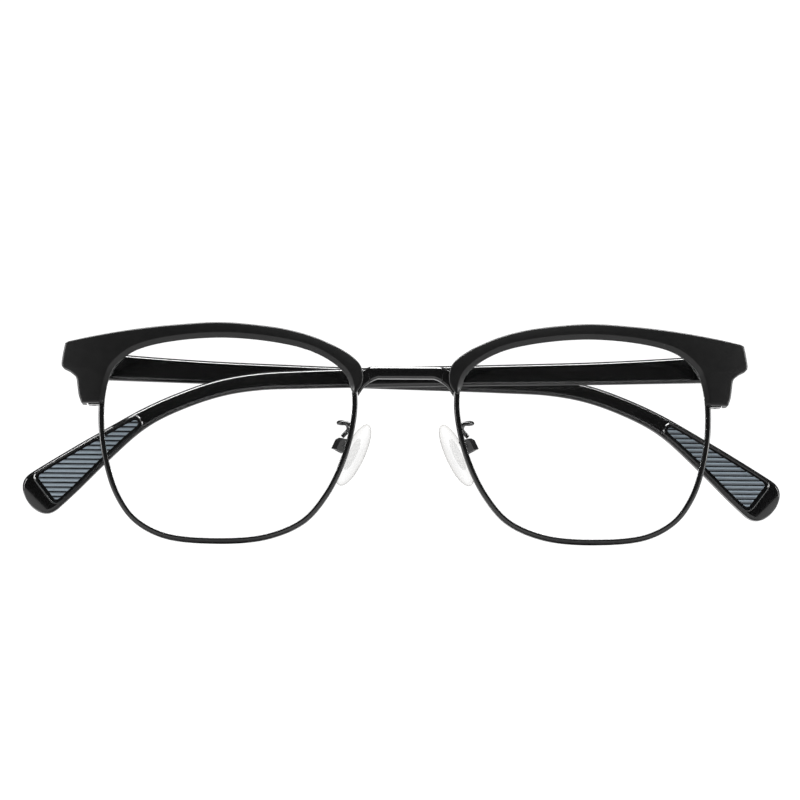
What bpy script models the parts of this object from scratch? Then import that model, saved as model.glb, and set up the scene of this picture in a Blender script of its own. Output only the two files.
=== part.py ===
"""Browline eyeglasses, folded: metal rims and bridge, acetate brow bars, hinged temples.

Lengths below are millimetres and become metres in solid(). X runs to the wearer's left,
Y runs from the front towards the wearer, Z runs up. Heights are first counted from the
lowest point of the rims, and DATUM_Z then moves the origin to the bridge's front face.
"""
import math

import bmesh
import bpy
import numpy as np
from mathutils import Matrix, Vector

MM = 0.001
SIDES = {"left": 1, "right": -1}

# Driving dimensions of the front, mm
DATUM_Z = 33.0
EYE_CENTRE = (34.0, 21.0)
WRAP_RADIUS = 380.0
LENS_RADIUS = 260.0
RIM_WIDTH = 1.0
RIM_HALF_DEPTH = 0.95
RIM_STATIONS = 60
RIM_SPLIT = 0.3
GROOVE_DEPTH = 0.45
LENS_HALF = 0.7
LENS_GAP = 0.06
BROW_FRONT = -1.95
BROW_BACK = 1.45
BROW_CHAMFER = 0.9
LIP_BACK = -1.05
BLOCK_BACK = 9.3
BRIDGE_GAP = 0.06

# Driving dimensions of the hinge and temple, mm
HINGE = (61.7, 10.65, 36.0)
PANTOSCOPIC = math.radians(3.0)
CROSSING = math.radians(1.3)
KNUCKLE_RADIUS = 1.15
KNUCKLE_TOP = 2.0
KNUCKLE_GAP = 0.06
KNUCKLE_SPLIT = 0.69
PIN_RADIUS = 0.44
PIN_BORE = 0.5
LEAF_HALF = 2.0
LEAF_THICK = 0.7
LEAF_REACH = 2.95
RIVET_RADIUS = 0.32
RIVET_HOLE = 0.38
INNER_FACE = 1.4
CORE_RADIUS = 0.5
CORE_BORE = 0.6
INSERT_DEPTH = 0.5
INSERT_GAP = 0.06

# Nose pads, mm: the box's centre, the pad's tilt seen from the front, and its splay
PAD_BOX = Vector((12.35, 6.9, 19.8))
PAD_LEAN = math.radians(25.0)
PAD_SPLAY = math.radians(28.0)
PAD_SCREW_RADIUS = 0.33
PAD_SCREW_HOLE = 0.4

# Rim outline seen from the front, from the split at the temple side, down and round
RIM_OUTLINE = [
    (59.25, 29.4), (59.3, 22.3), (58.1, 15.4), (55.95, 9.35), (52.45, 4.55), (46.5, 1.25),
    (36.1, 0.1), (26.3, 0.9), (19.25, 3.95), (15.0, 8.8), (11.9, 14.9), (9.95, 21.6),
    (9.3, 27.7), (10.2, 32.7), (14.1, 36.5), (22.0, 39.6), (35.6, 41.2), (46.6, 40.55),
    (54.4, 38.0), (58.2, 33.5),
]

# Brow bar rungs: lens-side x, z, outer x, z, groove width, share of end-block depth
BROW_SWEEP = [
    (10.15, 28.85, 9.75, 28.9, 1.6, 0.0), (10.45, 29.5, 9.3, 29.4, 1.6, 0.0),
    (10.8, 30.5, 8.55, 30.5, 1.6, 0.0), (11.3, 32.0, 8.2, 32.1, 1.6, 0.0),
    (12.1, 33.2, 8.6, 34.1, 1.6, 0.0), (13.2, 34.25, 9.7, 35.6, 1.6, 0.0),
    (14.8, 35.4, 12.0, 37.3, 1.6, 0.0), (16.8, 36.5, 15.0, 38.8, 1.6, 0.0),
    (19.5, 37.6, 18.2, 40.1, 1.6, 0.0), (24.0, 38.65, 23.2, 41.45, 1.6, 0.0),
    (30.0, 39.5, 29.6, 42.4, 1.6, 0.0), (36.1, 39.85, 36.1, 42.9, 1.6, 0.0),
    (43.2, 39.5, 43.8, 42.6, 1.6, 0.0), (49.1, 38.6, 50.3, 42.1, 1.6, 0.0),
    (52.8, 37.4, 55.95, 41.45, 1.5, 0.3), (55.2, 35.75, 61.1, 40.7, 1.5, 0.9),
    (56.2, 34.8, 65.6, 39.9, 1.5, 1.0),
]
BROW_CORNERS = [
    (56.4, 34.55, 66.3, 39.55, 1.5, 1.0), (56.75, 34.1, 66.75, 37.1, 1.5, 1.0),
    (57.0, 33.6, 66.9, 35.15, 1.5, 1.0), (57.1, 33.3, 66.5, 34.65, 1.5, 1.0),
]
BROW_LOBE = [
    (57.25, 32.9, 65.4, 34.1, 1.5, 1.0), (57.4, 32.4, 64.5, 33.4, 1.5, 1.0),
    (57.65, 31.5, 63.85, 32.4, 3.95, 1.0), (57.9, 30.2, 63.6, 30.75, 3.95, 1.0),
    (58.1, 28.85, 63.3, 29.0, 3.95, 1.0), (58.3, 27.5, 62.8, 27.6, 3.75, 1.0),
]
LEG_STARTS_X = 13.0
LOCK_SCREW = (60.45, 7.3)

# Temple centre line along and up the blade, its half height and thickness by length
TEMPLE_LINE = [
    (-0.6, 0.15), (9.7, -0.45), (23.7, -1.1), (45.7, -1.7), (61.7, -2.15), (80.7, -2.8),
    (90.4, -3.35), (97.3, -4.55), (104.2, -6.85), (112.3, -10.7), (120.8, -16.8),
    (128.7, -23.1), (134.7, -27.8),
]
TEMPLE_LENGTH = 142.4
TIP_ROUND = 4.4
HALF_HEIGHT = [
    (0, 2.8), (11.7, 2.5), (25.7, 2.3), (47.7, 2.1), (63.7, 2.05), (82.7, 1.9), (92.7, 1.78),
    (106.7, 1.7), (115.7, 1.8), (120.7, 2.35), (126.7, 3.1), (136.2, 4.3), (142.4, 4.7),
]
THICKNESS = [(0, 3.4), (12, 3.0), (26, 2.5), (102, 2.5), (118, 3.4), (143, 3.6)]
INSERT_SPAN = (115.8, 138.3)
INSERT_MARGIN = 1.15

COLOURS = {
    "brow_acetate": ((0.012, 0.012, 0.012), 0.55, 0.0, 1.0),
    "black_metal": ((0.02, 0.02, 0.021), 0.25, 0.6, 1.0),
    "steel": ((0.5, 0.5, 0.52), 0.3, 1.0, 1.0),
    "lens_clear": ((0.92, 0.95, 0.95), 0.02, 0.0, 0.2),
    "pad_silicone": ((0.8, 0.8, 0.78), 0.2, 0.0, 0.5),
    "temple_black": ((0.015, 0.015, 0.016), 0.3, 0.0, 1.0),
    "insert_rubber": ((0.26, 0.33, 0.38), 0.6, 0.0, 1.0),
}


def clear_scene():
    for item in list(bpy.data.objects):
        bpy.data.objects.remove(item)


def material(slot):
    """The Principled material of one slot, made once."""
    made = bpy.data.materials.get(slot)
    if made:
        return made
    colour, roughness, metallic, alpha = COLOURS[slot]
    made = bpy.data.materials.new(slot)
    made.use_nodes = True
    shader = made.node_tree.nodes["Principled BSDF"]
    shader.inputs["Base Color"].default_value = (*colour, 1.0)
    shader.inputs["Roughness"].default_value = roughness
    shader.inputs["Metallic"].default_value = metallic
    shader.inputs["Alpha"].default_value = alpha
    return made


def smooth(points, count, closed=False):
    """Points along a Catmull-Rom curve through every row of points, evenly by length."""
    rows = np.array(points, float)
    if closed:
        rows = np.vstack([rows[-1], rows, rows[:2]])
    else:
        rows = np.vstack([2 * rows[0] - rows[1], rows, 2 * rows[-1] - rows[-2]])
    knots = np.concatenate([[0], np.cumsum(np.sqrt(np.linalg.norm(np.diff(rows, axis=0), axis=1)))])
    fine = []
    for i in range(1, len(rows) - 2):
        t0, t1, t2, t3 = knots[i - 1:i + 3]
        p0, p1, p2, p3 = rows[i - 1:i + 3]
        for t in np.linspace(t1, t2, 24, endpoint=False):
            a1 = p0 + (p1 - p0) * (t - t0) / (t1 - t0)
            a2 = p1 + (p2 - p1) * (t - t1) / (t2 - t1)
            a3 = p2 + (p3 - p2) * (t - t2) / (t3 - t2)
            b1 = a1 + (a2 - a1) * (t - t0) / (t2 - t0)
            b2 = a2 + (a3 - a2) * (t - t1) / (t3 - t1)
            fine.append(b1 + (b2 - b1) * (t - t1) / (t2 - t1))
    fine.append(rows[-2])
    fine = np.array(fine)
    run = np.concatenate([[0], np.cumsum(np.linalg.norm(np.diff(fine, axis=0), axis=1))])
    wanted = np.linspace(0, run[-1], count, endpoint=not closed)
    return np.array([np.interp(wanted, run, column) for column in fine.T]).T


def depth(x, z):
    """Y of the front's curved middle surface: the frame's wrap plus the lens's curve."""
    across = abs(x) - EYE_CENTRE[0]
    up = z - EYE_CENTRE[1]
    return x * x / (2 * WRAP_RADIUS) + (across * across + up * up) / (2 * LENS_RADIUS)


def block_back(z):
    """Y of the end block's back face, square to the tilted hinge axis."""
    return BLOCK_BACK + (z - HINGE[2]) * math.tan(PANTOSCOPIC)


def solid(name, rings, slot, side=1, loop=False, place=None):
    """One closed object skinned over rings of points; place maps local mm to the front."""
    mesh = bmesh.new()
    rows = []
    for ring in rings:
        row = []
        for point in ring:
            spot = Vector(point)
            if place:
                spot = place @ spot
            row.append(mesh.verts.new((side * spot.x * MM, spot.y * MM, (spot.z - DATUM_Z) * MM)))
        rows.append(row)
    around = len(rows[0])
    for i in range(len(rows) if loop else len(rows) - 1):
        here, after = rows[i], rows[(i + 1) % len(rows)]
        for j in range(around):
            k = (j + 1) % around
            mesh.faces.new((here[j], here[k], after[k], after[j]))
    if not loop:
        mesh.faces.new(rows[0])
        mesh.faces.new(rows[-1])
    bmesh.ops.recalc_face_normals(mesh, faces=mesh.faces)
    data = bpy.data.meshes.new(name)
    mesh.to_mesh(data)
    mesh.free()
    data.materials.append(material(slot))
    made = bpy.data.objects.new(name, data)
    bpy.context.collection.objects.link(made)
    return made


def boolean(target, tool, operation):
    """Cut the tool from the target, or join it on, and keep only the target."""
    step = target.modifiers.new("step", "BOOLEAN")
    step.object = tool
    step.operation = operation
    bpy.context.view_layer.update()
    graph = bpy.context.evaluated_depsgraph_get()
    target.data = bpy.data.meshes.new_from_object(target.evaluated_get(graph))
    target.modifiers.clear()
    bpy.data.objects.remove(tool)


def set_origin(item, spot):
    """Move the object's origin to spot (mm from the rims' lowest point), mesh unmoved."""
    world = Vector((spot[0] * MM, spot[1] * MM, (spot[2] - DATUM_Z) * MM))
    item.data.transform(Matrix.Translation(-world))
    item.location = world


def circle(radius, count):
    return [(radius * math.cos(2 * math.pi * i / count), radius * math.sin(2 * math.pi * i / count))
            for i in range(count)]


def rod_rings(start, end, radii, count=12):
    """Rings of a turned part: radii holds (distance from start, radius) pairs."""
    axis = (Vector(end) - Vector(start)).normalized()
    first = axis.orthogonal().normalized()
    second = axis.cross(first)
    rings = []
    for distance, radius in radii:
        centre = Vector(start) + axis * distance
        rings.append([centre + first * u + second * v for u, v in circle(radius, count)])
    return rings


def rod(name, start, end, radius, slot, side=1, place=None, count=12):
    length = (Vector(end) - Vector(start)).length
    return solid(name, rod_rings(start, end, [(0, radius), (length, radius)], count), slot, side,
                 place=place)


def fastener(name, head_spot, end_spot, head, shank, slot, side, place=None):
    """A screw or rivet; head is (radius, height) and stands up to head_spot."""
    length = (Vector(end_spot) - Vector(head_spot)).length
    radii = [(0, head[0] * 0.7), (head[1] * 0.4, head[0]), (head[1], head[0]),
             (head[1], shank), (length, shank)]
    return solid(name, rod_rings(head_spot, end_spot, radii), slot, side, place=place)


def box_rings(low, high):
    """Two rings of a box between opposite corners."""
    (x0, y0, z0), (x1, y1, z1) = low, high
    return [[(x0, y0, z), (x1, y0, z), (x1, y1, z), (x0, y1, z)] for z in (z0, z1)]


def tube_rings(path, radius, count=8):
    """Rings round a path of points, kept from twisting by carrying one direction along."""
    spots = [Vector(p) for p in path]
    rings = []
    carried = None
    for i, spot in enumerate(spots):
        along = (spots[min(i + 1, len(spots) - 1)] - spots[max(i - 1, 0)]).normalized()
        carried = carried or along.orthogonal()
        carried = (carried - along * carried.dot(along)).normalized()
        other = along.cross(carried)
        rings.append([spot + carried * u + other * v for u, v in circle(radius, count)])
    return rings


# ---------------------------------------------------------------- front

def rim_stations(start, stop):
    """(point, inward normal) pairs along the rim outline; start and stop trim its ends, mm."""
    outline = smooth(RIM_OUTLINE, RIM_STATIONS * 8, closed=True)
    run = np.concatenate([[0], np.cumsum(np.linalg.norm(np.diff(
        np.vstack([outline, outline[:1]]), axis=0), axis=1))])
    total = run[-1]
    places = [total * i / RIM_STATIONS for i in range(RIM_STATIONS)]
    places[0] = start
    if stop:
        places.append(total - stop)
    ahead = np.vstack([outline, outline[:1]])
    stations = []
    for place in places:
        spot = np.array([np.interp(place, run, column) for column in ahead.T])
        before, after = (np.array([np.interp((place + d) % total, run, column) for column in ahead.T])
                         for d in (-0.6, 0.6))
        tangent = (after - before) / np.linalg.norm(after - before)
        stations.append((spot, np.array([-tangent[1], tangent[0]]) * inward_sign(outline)))
    return stations


def inward_sign(outline):
    """1 when the outline runs anticlockwise, so that its left-hand normal points inwards."""
    x, z = outline.T
    return 1 if np.dot(x, np.roll(z, -1)) > np.dot(z, np.roll(x, -1)) else -1


def on_front(spot, normal, inward, offset):
    x, z = spot + normal * inward
    return (x, depth(x, z) + offset, z)


def rim(name, side):
    """The grooved wire, split where the lock blocks close it."""
    edge = RIM_HALF_DEPTH - 0.15
    section = [(0, -edge), (0, edge), (0.15, RIM_HALF_DEPTH), (RIM_WIDTH, RIM_HALF_DEPTH),
               (RIM_WIDTH, 0.45), (RIM_WIDTH - GROOVE_DEPTH, 0), (RIM_WIDTH, -0.45),
               (RIM_WIDTH, -RIM_HALF_DEPTH), (0.15, -RIM_HALF_DEPTH)]
    half = RIM_SPLIT / 2
    rings = [[on_front(spot, normal, u, v) for u, v in section]
             for spot, normal in rim_stations(half, half)]
    return solid(name, rings, "black_metal", side)


def lens(name, side):
    """A lens of even thickness whose bevel sits in the rim's groove."""
    edge = RIM_WIDTH + LENS_GAP
    stations = rim_stations(0, 0)
    centre = np.array(EYE_CENTRE)
    loops = []
    for share in (0.25, 0.6):
        loops.append((share, edge, -LENS_HALF))
    loops += [(1, edge, -LENS_HALF), (1, edge, -0.38), (1, edge - GROOVE_DEPTH + 0.03, 0),
              (1, edge, 0.38), (1, edge, LENS_HALF)]
    for share in (0.6, 0.25):
        loops.append((share, edge, LENS_HALF))
    rings = []
    for share, inward, offset in loops:
        ring = []
        for spot, normal in stations:
            x, z = centre + (spot + normal * inward - centre) * share
            ring.append((x, depth(x, z) + offset, z))
        rings.append(ring)
    return solid(name, rings, "lens_clear", side)


def brow_ring(rung):
    """One cross-section of the brow bar: a front lip and a leg outside the rim's groove."""
    inner = np.array(rung[0:2])
    outer = np.array(rung[2:4])
    groove, block = rung[4], min(max(rung[5], 0), 1)
    width = np.linalg.norm(outer - inner)
    across = (outer - inner) / width
    chamfer = min(BROW_CHAMFER, 0.45 * width)
    corner = min(0.35, 0.2 * width)
    has_leg = inner[0] > LEG_STARTS_X

    def at(w, offset=None):
        x, z = inner + across * w
        surface = depth(x, z)
        if offset is None:
            own = surface + BROW_BACK
            return (x, own + (block_back(z) - own) * block, z)
        return (x, surface + offset, z)

    ring = [at(0, LIP_BACK), at(0, BROW_FRONT + 0.7), at(chamfer, BROW_FRONT),
            at(width - corner, BROW_FRONT), at(width, BROW_FRONT + corner)]
    if has_leg:
        back_x, back_y, back_z = at(width)
        ring += [(back_x, back_y - 0.35, back_z), at(width - corner), at(groove), at(groove, LIP_BACK)]
    else:
        ring += [at(width, LIP_BACK - 0.1), at(width - corner * 0.7, LIP_BACK),
                 at(width * 0.7, LIP_BACK), at(width * 0.4, LIP_BACK)]
    return ring


def brow_bar(name, side):
    rungs = list(smooth(BROW_SWEEP, 40)) + BROW_CORNERS + list(smooth(BROW_LOBE, 9))
    return solid(name, [brow_ring(rung) for rung in rungs], "brow_acetate", side)


def bridge(name):
    """The bar between the rims: a flat raised pad and two legs that run in behind the brows."""
    half = [
        (5.4, 31.9, 5.4, 34.25, 0.0, 1.9), (6.6, 31.4, 6.9, 34.2, 0.0, 1.9),
        (6.95, 31.2, 7.2, 34.15, 0.5, 1.95), (8.1, 30.3, 8.3, 33.7, 0.56, 2.0),
        (9.25 - BRIDGE_GAP, 28.6, 9.8 - BRIDGE_GAP, 32.4, 0.62, 2.0),
    ]
    rungs = [(-a, b, -c, d, e, f) for a, b, c, d, e, f in reversed(half)] + half
    rings = [[(xl, yf, zl), (xh, yf, zh), (xh, yb, zh), (xl, yb, zl)]
             for xl, zl, xh, zh, yf, yb in rungs]
    made = solid(name, rings, "black_metal")
    bevel = made.modifiers.new("bevel", "BEVEL")
    bevel.width = 0.22 * MM
    bevel.segments = 2
    bevel.limit_method = "ANGLE"
    bevel.angle_limit = math.radians(50)
    return made


LUG_PLACES = {"inner": 44.5, "outer": 51.4}
LUG_SCREW_OUT = 0.85


def lug_frame(key):
    """(point, inward normal) of the rim where one brow lug is soldered."""
    stations = rim_stations(0, 0)
    low = int(LUG_PLACES[key])
    share = LUG_PLACES[key] - low
    spot = stations[low][0] * (1 - share) + stations[low + 1][0] * share
    normal = stations[low][1] * (1 - share) + stations[low + 1][1] * share
    return spot, normal / np.linalg.norm(normal)


def lug_screw_ends(key):
    spot, normal = lug_frame(key)
    x, y, z = on_front(spot, normal, -LUG_SCREW_OUT, 0)
    return (x, y + 2.75, z), (x, y - 0.8, z)


def brow_lug(name, key, side):
    """A small tab on the rim's back with a hole for the screw that holds the brow bar."""
    spot, normal = lug_frame(key)
    tangent = np.array([normal[1], -normal[0]])
    section = [(0.55, 1.0), (0.05, 1.0), (0.05, 1.5), (-1.5, 1.5), (-1.5, 2.2), (0.55, 2.2)]
    rings = [[on_front(spot + tangent * step, normal, u, v) for u, v in section]
             for step in (-1.0, 1.0)]
    made = solid(name, rings, "black_metal", side)
    head, end = lug_screw_ends(key)
    boolean(made, rod("hole", head, end, RIVET_HOLE, "black_metal", side), "DIFFERENCE")
    return made


def rim_lock(name, part, side):
    """Half of the closing block beside the rim's split."""
    low, high = {"upper": (29.55, 30.7), "lower": (27.4, 29.25)}[part]
    made = solid(name, box_rings((59.4, 5.8, low), (61.5, 8.6, high)), "black_metal", side)
    x, y = LOCK_SCREW
    tool = rod("hole", (x, y, low - 1), (x, y, high + 1), 0.42, "black_metal", side)
    boolean(made, tool, "DIFFERENCE")
    return made


# ---------------------------------------------------------------- hinge and temple

def hinge_place():
    """Hinge-local millimetres (axis along local z) to the front's frame."""
    return Matrix.Translation(Vector(HINGE)) @ Matrix.Rotation(-PANTOSCOPIC, 4, "X")


def temple_place(side):
    """Temple-local (along, outward, up) to the front's frame, folded, mirrored side apart."""
    fold = CROSSING * -side
    along = Vector((-math.cos(fold), math.sin(fold), 0))
    outward = Vector((math.sin(fold), math.cos(fold), 0))
    turn = Matrix((along, outward, Vector((0, 0, 1)))).transposed().to_4x4()
    return hinge_place() @ turn


def knuckle_rings(reach, low, high):
    """Rounded knuckle with a web that reaches out along local y by reach."""
    ways = 1 if reach > 0 else -1
    arc = [(KNUCKLE_RADIUS * math.cos(a), -ways * KNUCKLE_RADIUS * math.sin(a))
           for a in np.linspace(0, math.pi, 9)]
    outline = arc + [(-KNUCKLE_RADIUS, reach), (KNUCKLE_RADIUS, reach)]
    return [[(x, y, z) for x, y in outline] for z in (low, high)]


def bored(made, side, place):
    tool = rod("bore", (0, 0, -4), (0, 0, 4), PIN_BORE, "steel", side, place, 16)
    boolean(made, tool, "DIFFERENCE")


BLOCK_OFFSET = HINGE[1] - BLOCK_BACK
FRONT_RIVETS = {"upper": (-2.7, 1.1), "lower": (-2.7, -1.1)}
TEMPLE_RIVETS = {"upper": (1.95, 1.2), "lower": (1.95, -1.2)}


def hinge_front(name, side):
    """The front leaf: a plate let into the end block, with the outer two knuckles."""
    place = hinge_place()
    back = -BLOCK_OFFSET
    made = solid(name, box_rings((-4.2, back - LEAF_THICK, -LEAF_HALF), (1.2, back, LEAF_HALF)),
                 "steel", side, place=place)
    for low, high in ((-KNUCKLE_TOP, -KNUCKLE_SPLIT - KNUCKLE_GAP / 2),
                      (KNUCKLE_SPLIT + KNUCKLE_GAP / 2, KNUCKLE_TOP)):
        tool = solid("knuckle", knuckle_rings(back - 0.2, low, high), "steel", side, place=place)
        boolean(made, tool, "UNION")
    bored(made, side, place)
    for x, z in FRONT_RIVETS.values():
        tool = rod("hole", (x, back + 1, z), (x, back - 2, z), RIVET_HOLE, "steel", side, place)
        boolean(made, tool, "DIFFERENCE")
    return made


def hinge_temple(name, side):
    """The temple's leaf: a plate on the blade's inner face, with the middle knuckle."""
    place = temple_place(side)
    face = INNER_FACE + 0.02
    made = solid(name, box_rings((-0.7, face, -LEAF_HALF), (LEAF_REACH, face + LEAF_THICK, LEAF_HALF)), "steel", side,
                 place=place)
    tall = KNUCKLE_SPLIT - KNUCKLE_GAP / 2
    tool = solid("knuckle", knuckle_rings(face + 0.2, -tall, tall), "steel", side, place=place)
    boolean(made, tool, "UNION")
    bored(made, side, place)
    for along, up in TEMPLE_RIVETS.values():
        tool = rod("hole", (along, face - 1, up), (along, face + 2, up), RIVET_HOLE, "steel", side, place)
        boolean(made, tool, "DIFFERENCE")
    return made


def temple_station(run, line):
    """(centre, direction along, direction up) of the blade at a length from its root."""
    steps = np.linalg.norm(np.diff(line, axis=0), axis=1)
    total = np.concatenate([[0], np.cumsum(steps)])
    spot, before, after = (np.array([np.interp(run + d, total, column) for column in line.T])
                           for d in (0, -1.5, 1.5))
    along = (after - before) / np.linalg.norm(after - before)
    return spot, along, np.array([-along[1], along[0]])


def table(rows, run):
    """A smooth value from a short table of (length, value)."""
    xs, ys = np.array(rows, float).T
    spots = np.clip(run + np.linspace(-4, 4, 9), xs[0], xs[-1])
    return float(np.mean(np.interp(spots, xs, ys)))


def temple_half(run):
    """Half height of the blade, rounded off over its last millimetres."""
    past = max(0.0, (run - (TEMPLE_LENGTH - TIP_ROUND)) / TIP_ROUND)
    return table(HALF_HEIGHT, run) * max(0.12, (1 - past ** 2.8) ** 0.5)


def temple_runs(first, last, count):
    """Lengths along the blade, closer together where it bends and rounds off."""
    share = np.linspace(0, 1, count)
    return first + (last - first) * (1 - (1 - share) ** 1.6)


def temple_line():
    return smooth(TEMPLE_LINE, 200)


def temple_blade(name, side):
    line = temple_line()
    rings = []
    for run in temple_runs(0, TEMPLE_LENGTH - 0.05, 46):
        spot, _, up = temple_station(run, line)
        half, thick = temple_half(run), table(THICKNESS, run)
        bevel = min(0.5, 0.4 * half)
        near, far = INNER_FACE, INNER_FACE + thick
        section = [(near, half - bevel), (near + bevel, half), (far - bevel, half),
                   (far, half - bevel), (far, bevel - half), (far - bevel, -half),
                   (near + bevel, -half), (near, bevel - half)]
        rings.append([(spot[0] + up[0] * v, u, spot[1] + up[1] * v) for u, v in section])
    place = temple_place(side)
    made = solid(name, rings, "temple_black", side, place=place)
    root = box_rings((-3, 0.5, -2.1), (LEAF_REACH + 0.1, INNER_FACE + LEAF_THICK + 0.08, 2.1))
    boolean(made, solid("pocket", root, "steel", side, place=place), "DIFFERENCE")
    tool = solid("bore", core_rings(-3, 134, CORE_BORE), "steel", side, place=place)
    boolean(made, tool, "DIFFERENCE")
    tool = solid("seat", insert_rings(INNER_FACE - 1, INNER_FACE + INSERT_DEPTH, 0), "steel", side,
                 place=place)
    boolean(made, tool, "DIFFERENCE")
    for along, up in TEMPLE_RIVETS.values():
        tool = rod("hole", (along, 0, up), (along, INNER_FACE + 1.25, up), RIVET_HOLE, "steel", side,
                   place)
        boolean(made, tool, "DIFFERENCE")
    return made


def core_rings(first, last, radius):
    """The wire down the middle of the blade, or the bore that holds it."""
    line = temple_line()
    path = []
    for run in np.linspace(first, last, 30):
        spot, along, _ = temple_station(max(run, 0), line)
        spot = spot + along * min(run, 0)
        path.append((spot[0], INNER_FACE + table(THICKNESS, run) / 2, spot[1]))
    return tube_rings(path, radius)


def insert_rings(near, far, gap):
    """The striped grip panel near the tip: a wedge that widens with the blade."""
    line = temple_line()
    rings = []
    for run in np.linspace(INSERT_SPAN[0] + gap, INSERT_SPAN[1] - gap, 13):
        spot, _, up = temple_station(run, line)
        half = table(HALF_HEIGHT, run) - INSERT_MARGIN - gap
        rings.append([(spot[0] + up[0] * v, u, spot[1] + up[1] * v)
                      for u, v in ((near, half), (far, half), (far, -half), (near, -half))])
    return rings


# ---------------------------------------------------------------- nose pads

def pad_place():
    """Pad-local millimetres (x screw axis, y along the pad, z towards the nose)."""
    along = Vector((-math.sin(PAD_LEAN), 0, math.cos(PAD_LEAN)))
    flat = Vector((math.cos(PAD_LEAN), 0, math.sin(PAD_LEAN)))
    facing = (-flat * math.cos(PAD_SPLAY) + Vector((0, 1, 0)) * math.sin(PAD_SPLAY)).normalized()
    across = along.cross(facing)
    turn = Matrix((across, along, facing)).transposed().to_4x4()
    return Matrix.Translation(PAD_BOX) @ turn


def pad_arm(name, side):
    """The wire that is soldered to the rim's back and loops round to the pad's box."""
    place = pad_place()
    box_top = place @ Vector((0, 1.55, -0.6))
    above = place @ Vector((0, 2.1, -0.4))
    route = [(10.75, 2.75, 22.9), (11.2, 2.85, 23.45), (12.4, 3.4, 23.6), (12.9, 4.4, 23.8),
             (12.3, 5.4, 24.0), (11.3, 5.75, 23.7), (11.0, 6.1, 22.8), tuple(above), tuple(box_top)]
    return solid(name, tube_rings(smooth(route, 26), 0.42), "black_metal", side)


def pad_box(name, side):
    """The open clip that holds the pad's stem between two walls."""
    place = pad_place()
    outline = [(-1.15, -1.15), (1.15, -1.15), (1.15, 1.15), (0.75, 1.15), (0.75, -0.75),
               (-0.75, -0.75), (-0.75, 1.15), (-1.15, 1.15)]
    rings = [[(x, y, z) for x, z in outline] for y in (-1.4, 1.4)]
    made = solid(name, rings, "black_metal", side, place=place)
    profile = [(-1.5, -1.5), (-1.5, 1.5), (1.5, 1.5), (1.4, 0.0), (1.15, -0.65), (0.65, -1.05),
               (0.0, -1.5)]
    form = solid("form", [[(x, y, z) for y, z in profile] for x in (-2, 2)], "steel", side, place=place)
    boolean(made, form, "INTERSECT")
    tool = rod("hole", (-3, 0, 0), (3, 0, 0), PAD_SCREW_HOLE, "steel", side, place)
    boolean(made, tool, "DIFFERENCE")
    return made


def nose_pad(name, side):
    """The almond-shaped pad with its stem; the stem rocks on the screw."""
    place = pad_place()
    lofts = [(-0.5, 0.62, 0.62, 0, 0), (1.6, 0.62, 0.62, 0, 0), (1.9, 1.7, 2.6, 0.2, -0.4),
             (2.4, 3.0, 5.5, 0.5, -0.6), (3.1, 3.5, 6.6, 0.6, -0.6), (3.9, 3.3, 6.3, 0.6, -0.6),
             (4.5, 2.3, 4.5, 0.5, -0.6), (4.7, 1.1, 2.3, 0.4, -0.6)]
    rings = []
    for high, wide, tall, taper, lower in lofts:
        ring = []
        for u, v in circle(1.0, 20):
            ring.append((wide * u * (1 - 0.16 * taper * v), tall * v + lower, high))
        rings.append(ring)
    made = solid(name, rings, "pad_silicone", side, place=place)
    tool = rod("hole", (-3, 0, 0), (3, 0, 0), PAD_SCREW_HOLE, "steel", side, place)
    boolean(made, tool, "DIFFERENCE")
    return made


# ---------------------------------------------------------------- assembly

def build_front(word, side):
    brow = brow_bar(f"brow_bar_{word}", side)
    place = hinge_place()
    back = -BLOCK_OFFSET
    pocket = box_rings((-4.3, back - LEAF_THICK - 0.08, -2.1), (1.3, back + 2, 2.1))
    boolean(brow, solid("pocket", pocket, "steel", side, place=place), "DIFFERENCE")
    for key, (x, z) in FRONT_RIVETS.items():
        tool = rod("hole", (x, back, z), (x, back - 2.4, z), RIVET_HOLE, "steel", side, place)
        boolean(brow, tool, "DIFFERENCE")
        fastener(f"hinge_rivet_{key}_{word}", (x, back + 0.35, z), (x, back - 2.3, z),
                 (0.62, 0.3), RIVET_RADIUS, "steel", side, place)
    for key in LUG_PLACES:
        brow_lug(f"brow_lug_{key}_{word}", key, side)
        head, end = lug_screw_ends(key)
        tool = rod("hole", head, (end[0], end[1] - 0.1, end[2]), RIVET_HOLE, "steel", side)
        boolean(brow, tool, "DIFFERENCE")
        fastener(f"brow_screw_{key}_{word}", head, end, (0.68, 0.4), RIVET_RADIUS, "steel", side)
    rim(f"rim_{word}", side)
    lens(f"lens_{word}", side)
    rim_lock(f"rim_lock_upper_{word}", "upper", side)
    rim_lock(f"rim_lock_lower_{word}", "lower", side)
    x, y = LOCK_SCREW
    fastener(f"rim_screw_{word}", (x, y, 31.15), (x, y, 27.55), (0.7, 0.4), 0.36, "steel", side)
    hinge_front(f"hinge_front_{word}", side)
    fastener(f"hinge_screw_{word}", (0, 0, KNUCKLE_TOP + 0.55), (0, 0, 0.1 - KNUCKLE_TOP),
             (0.95, 0.5), PIN_RADIUS, "steel", side, place)


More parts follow.
